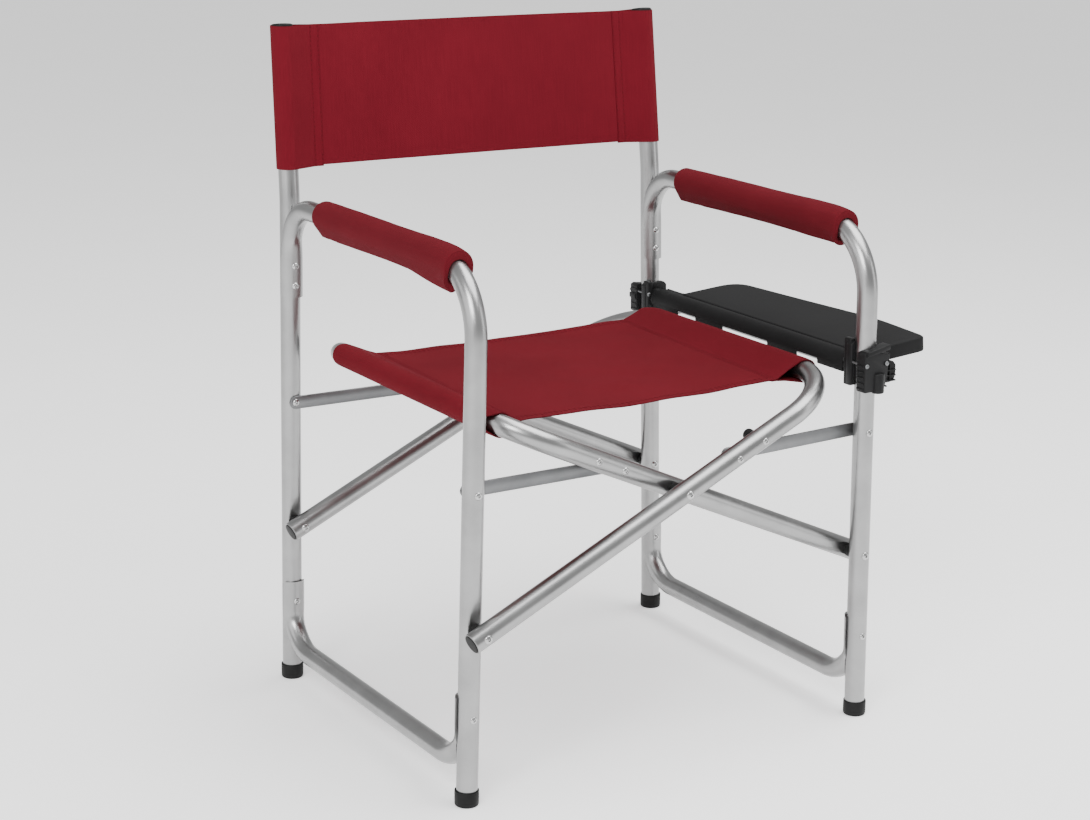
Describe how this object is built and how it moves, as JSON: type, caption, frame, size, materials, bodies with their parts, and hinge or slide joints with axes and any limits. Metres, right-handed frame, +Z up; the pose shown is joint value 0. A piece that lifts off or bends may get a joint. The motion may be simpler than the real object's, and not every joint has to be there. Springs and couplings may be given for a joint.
{
  "type": "folding director chair with side table",
  "caption": "Folding director chair in aluminium tube with a red cloth seat and back, padded armrests and a black tray-like side table clamped to one side.",
  "frame": {"origin": "on the floor, at the middle of the bounding box of chair and side table", "axes": "+X towards the sitter's left, where the side table is; +Y to the rear; +Z up"},
  "size_m": [0.6776, 0.5517, 0.8354],
  "materials": {
    "aluminium_tube": "satin anodised",
    "steel": "zinc-plated, dull",
    "rivet_metal": "bright",
    "black_plastic": "matte moulded",
    "table_plastic": "fine-grained matte moulded",
    "cloth": "coarse plain-weave polyester",
    "padded_cloth": "plain-weave polyester over thin foam"
  },
  "bodies": {
    "side_left": {"left_leg_armrest_tube": "aluminium_tube", "left_rear_post": "aluminium_tube", "left_stretcher": "aluminium_tube", "left_armrest_sleeve": "padded_cloth", "left_post_cap": "black_plastic", "left_front_foot_cap": "black_plastic", "left_front_pivot_rivet": "rivet_metal", "left_front_pivot_washer": "black_plastic", "left_front_link_pivot_rivet": "rivet_metal", "left_rear_foot_cap": "black_plastic", "left_rear_pivot_rivet": "rivet_metal", "left_rear_pivot_washer": "black_plastic", "left_rear_link_pivot_rivet": "rivet_metal", "back_cloth": "cloth"},
    "seat_frame_b": {"seat_frame_b": "aluminium_tube", "seat_frame_b_front_plug": "black_plastic", "seat_frame_b_front_link_rivet": "rivet_metal", "seat_frame_b_front_bumper": "black_plastic", "seat_frame_b_rear_plug": "black_plastic", "seat_frame_b_rear_link_rivet": "rivet_metal", "seat_frame_b_rear_bumper": "black_plastic", "crossing_front_rivet": "rivet_metal", "crossing_rear_rivet": "rivet_metal", "crossing_front_spacer": "black_plastic", "crossing_rear_spacer": "black_plastic", "seat_cloth": "cloth"},
    "seat_frame_a": {"seat_frame_a": "aluminium_tube", "seat_frame_a_front_plug": "black_plastic", "seat_frame_a_front_link_rivet": "rivet_metal", "seat_frame_a_front_bumper": "black_plastic", "seat_frame_a_rear_plug": "black_plastic", "seat_frame_a_rear_link_rivet": "rivet_metal", "seat_frame_a_rear_bumper": "black_plastic"},
    "side_right": {"right_leg_armrest_tube": "aluminium_tube", "right_rear_post": "aluminium_tube", "right_stretcher": "aluminium_tube", "right_armrest_sleeve": "padded_cloth", "right_post_cap": "black_plastic", "right_front_foot_cap": "black_plastic", "right_front_pivot_rivet": "rivet_metal", "right_front_pivot_washer": "black_plastic", "right_front_link_pivot_rivet": "rivet_metal", "right_rear_foot_cap": "black_plastic", "right_rear_pivot_rivet": "rivet_metal", "right_rear_pivot_washer": "black_plastic", "right_rear_link_pivot_rivet": "rivet_metal", "table_front_clamp_fixed_jaw": "black_plastic", "table_front_clamp_cover_jaw": "black_plastic", "table_front_clamp_inner_bolt": "steel", "table_front_clamp_outer_bolt": "steel", "table_rear_clamp_fixed_jaw": "black_plastic", "table_rear_clamp_cover_jaw": "black_plastic", "table_rear_clamp_inner_bolt": "steel", "table_rear_clamp_outer_bolt": "steel", "table_tube": "steel"},
    "table": {"tabletop": "table_plastic"},
    "link_left_front": {"left_front_link": "steel"},
    "link_left_rear": {"left_rear_link": "steel"},
    "link_right_front": {"right_front_link": "steel"},
    "link_right_rear": {"right_rear_link": "steel"}
  },
  "joints": [
    {"name": "fold", "type": "hinge", "parent": "side_left", "child": "seat_frame_b", "pos_m": [-0.3201, -0.0016, 0.20997], "axis": [0, -1, 0], "range_deg": [0, 34.3], "deforming": ["seat_cloth", "back_cloth", "left_armrest_sleeve", "right_armrest_sleeve"]},
    {"name": "crossing", "type": "hinge", "parent": "seat_frame_b", "child": "seat_frame_a", "pos_m": [-0.0467, -0.0016, 0.33169], "axis": [0, 1, 0], "range_deg": [0, 68.8]},
    {"name": "right_pivot", "type": "hinge", "parent": "seat_frame_a", "child": "side_right", "pos_m": [0.2267, -0.0016, 0.20997], "axis": [0, -1, 0], "range_deg": [0, 34.5]},
    {"name": "link_pivot_left_front", "type": "hinge", "parent": "side_left", "child": "link_left_front", "pos_m": [-0.31724, -0.0016, 0.36594], "axis": [0, -1, 0], "range_deg": [0, 56.46]},
    {"name": "link_pivot_left_rear", "type": "hinge", "parent": "side_left", "child": "link_left_rear", "pos_m": [-0.31724, -0.0016, 0.36594], "axis": [0, -1, 0], "range_deg": [0, 56.46]},
    {"name": "link_pivot_right_front", "type": "hinge", "parent": "side_right", "child": "link_right_front", "pos_m": [0.22384, -0.0016, 0.36594], "axis": [0, 1, 0], "range_deg": [0, 56.46]},
    {"name": "link_pivot_right_rear", "type": "hinge", "parent": "side_right", "child": "link_right_rear", "pos_m": [0.22384, -0.0016, 0.36594], "axis": [0, 1, 0], "range_deg": [0, 56.46]},
    {"name": "table_hinge", "type": "hinge", "parent": "side_right", "child": "table", "pos_m": [0.22238, -0.0016, 0.44593], "axis": [0, -1, 0], "range_deg": [0, 88]}
  ],
  "couplings": [
    {"joint": "crossing", "follows": "fold", "ratio": 2},
    {"joint": "right_pivot", "follows": "fold", "ratio": 1},
    {"joint": "link_pivot_left_front", "follows": "fold", "ratio": 1.6402},
    {"joint": "link_pivot_left_rear", "follows": "fold", "ratio": 1.6402},
    {"joint": "link_pivot_right_front", "follows": "fold", "ratio": 1.6402},
    {"joint": "link_pivot_right_rear", "follows": "fold", "ratio": 1.6402}
  ]
}
